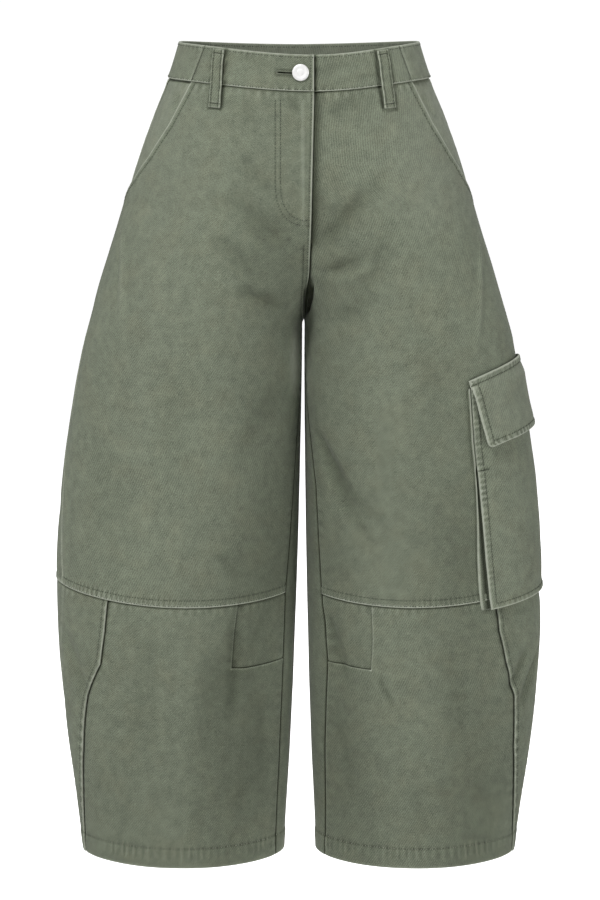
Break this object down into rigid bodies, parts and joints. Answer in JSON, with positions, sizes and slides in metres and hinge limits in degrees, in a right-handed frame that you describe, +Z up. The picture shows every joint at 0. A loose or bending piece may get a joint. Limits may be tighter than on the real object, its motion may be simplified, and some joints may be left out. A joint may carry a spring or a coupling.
{
  "type": "cropped barrel-leg cargo trousers",
  "caption": "Calf-length barrel-leg trousers, filled out as worn and hollow, open at waist and hems, with belt loops, slant pockets and a flapped cargo pocket on the left leg.",
  "frame": {"origin": "centre of the waistband's ring, where the wearer's waist holds the garment up", "axes": "+Z up, -Y out of the front, +X towards the wearer's left leg"},
  "size_m": [0.5313, 0.2478, 0.8923],
  "materials": {
    "cloth": "washed cotton twill in a sage olive, softly mottled and paler along its seams",
    "button": "satin, pale silver"
  },
  "bodies": {
    "root": {"front_right": "cloth", "front_left": "cloth", "hip_facing_right": "cloth", "hip_facing_left": "cloth", "back_right": "cloth", "back_left": "cloth", "front_side_lower_right": "cloth", "front_side_lower_left": "cloth", "back_side_lower_right": "cloth", "back_side_lower_left": "cloth", "knee_inset_right": "cloth", "knee_inset_left": "cloth", "front_lower_right": "cloth", "front_lower_left": "cloth", "hem_right": "cloth", "hem_left": "cloth", "waistband_front_right": "cloth", "waistband_front_left": "cloth", "waistband_back": "cloth", "fly_underlap": "cloth", "button": "button", "belt_loop_front_right": "cloth", "belt_loop_front_left": "cloth", "belt_loop_back_right": "cloth", "belt_loop_back_left": "cloth", "belt_loop_back_centre": "cloth", "cargo_pocket_face": "cloth", "cargo_pocket_gusset": "cloth", "cargo_pocket_flap": "cloth"}
  },
  "joints": []
}
